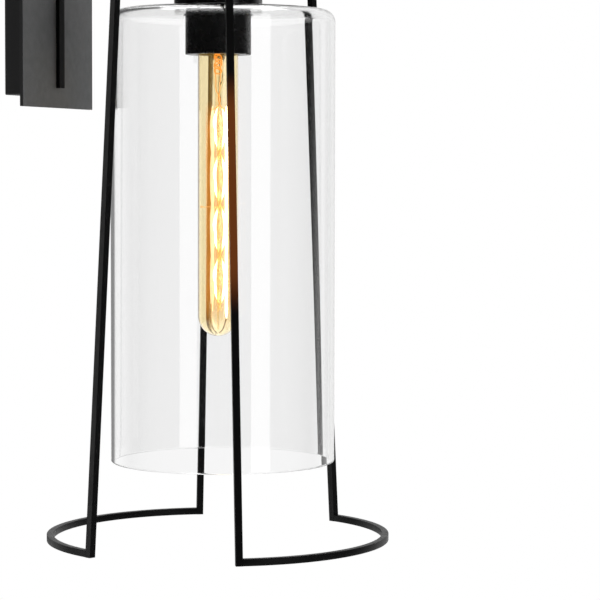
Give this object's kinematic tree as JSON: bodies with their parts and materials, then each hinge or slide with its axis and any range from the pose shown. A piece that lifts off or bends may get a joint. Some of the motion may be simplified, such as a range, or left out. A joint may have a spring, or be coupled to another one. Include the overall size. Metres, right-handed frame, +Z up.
{
  "type": "outdoor wall lantern",
  "caption": "Wall lantern: open cage of thin square bars round a clear glass cylinder with a tubular lamp, on an arm from a rectangular backplate.",
  "frame": {"origin": "centre of the two outlet-box slots in the mounting strap, on the wall plane", "axes": "+Z up, +Y into the wall, -Y out into the open, X along the wall"},
  "size_m": [0.2464, 0.2933, 0.5982],
  "materials": {
    "black_paint": "satin powder coat",
    "plate_paint": "fine satin powder coat",
    "clear_glass": "clear polished",
    "amber_glass": "amber tinted polished",
    "lamp_stem_glass": "clear polished",
    "filament": "glowing wire",
    "lamp_cap_metal": "bright",
    "contact_metal": "bright",
    "lamp_insulator": "gloss",
    "socket_moulding": "matte",
    "zinc_steel": "zinc plated",
    "green_screw": "green dyed zinc",
    "foam_gasket": "matte",
    "silicone": "translucent satin",
    "wire_black": "satin",
    "wire_white": "satin",
    "wire_green": "satin",
    "nut_plastic": "gloss"
  },
  "bodies": {
    "fixture": {"front_plate": "plate_paint", "back_pan": "plate_paint", "wall_gasket": "foam_gasket", "mounting_strap": "zinc_steel", "mounting_studs": "zinc_steel", "stud_nuts": "zinc_steel", "cap_nuts": "black_paint", "spine_screws": "zinc_steel", "ground_screw": "green_screw", "pan_lug_screw": "zinc_steel", "spine_bar": "black_paint", "arm_tube": "black_paint", "leg_back_left": "black_paint", "spoke_back_left": "black_paint", "leg_back_right": "black_paint", "spoke_back_right": "black_paint", "ring_arc_back": "black_paint", "leg_front_left": "black_paint", "spoke_front_left": "black_paint", "leg_front_right": "black_paint", "spoke_front_right": "black_paint", "ring_arc_front": "black_paint", "hub_cup": "black_paint", "hub_lid": "black_paint", "finial": "black_paint", "stem_tube": "black_paint", "threaded_nipple": "zinc_steel", "lock_nuts": "zinc_steel", "glass_cap": "black_paint", "cap_gasket": "silicone", "socket_body": "socket_moulding", "socket_cap": "socket_moulding", "socket_screw_shell": "contact_metal", "centre_contact": "contact_metal", "terminal_screws": "contact_metal", "wire_black": "wire_black", "wire_white": "wire_white", "wire_ground": "wire_green", "wire_nuts": "nut_plastic"},
    "shade": {"glass_shade": "clear_glass"},
    "collar": {"shade_collar": "black_paint", "collar_washer": "black_paint"},
    "lamp_tip": {"lamp_contact": "contact_metal", "lamp_insulator": "lamp_insulator"},
    "lamp": {"lamp_envelope": "amber_glass", "lamp_base_shell": "lamp_cap_metal", "lamp_stem": "lamp_stem_glass", "lamp_support": "lamp_stem_glass", "lamp_filament": "filament"}
  },
  "joints": [
    {"name": "shade_lower", "type": "slide", "parent": "fixture", "child": "shade", "axis": [0, 0, -1], "range_m": [0, 0.01]},
    {"name": "collar_turn", "type": "hinge", "parent": "shade", "child": "collar", "pos_m": [0, -0.1568, -0.0712], "axis": [0, 0, -1], "range_deg": [0, 1800]},
    {"name": "lamp_lower", "type": "slide", "parent": "fixture", "child": "lamp_tip", "axis": [0, 0, -1], "range_m": [0, 0.02177]},
    {"name": "lamp_turn", "type": "hinge", "parent": "lamp_tip", "child": "lamp", "pos_m": [0, -0.1568, -0.0712], "axis": [0, 0, -1], "range_deg": [0, 2160]}
  ],
  "couplings": [
    {"joint": "collar_turn", "follows": "shade_lower", "rad_per_m": 3141.6},
    {"joint": "lamp_turn", "follows": "lamp_lower", "rad_per_m": 1731.6}
  ]
}
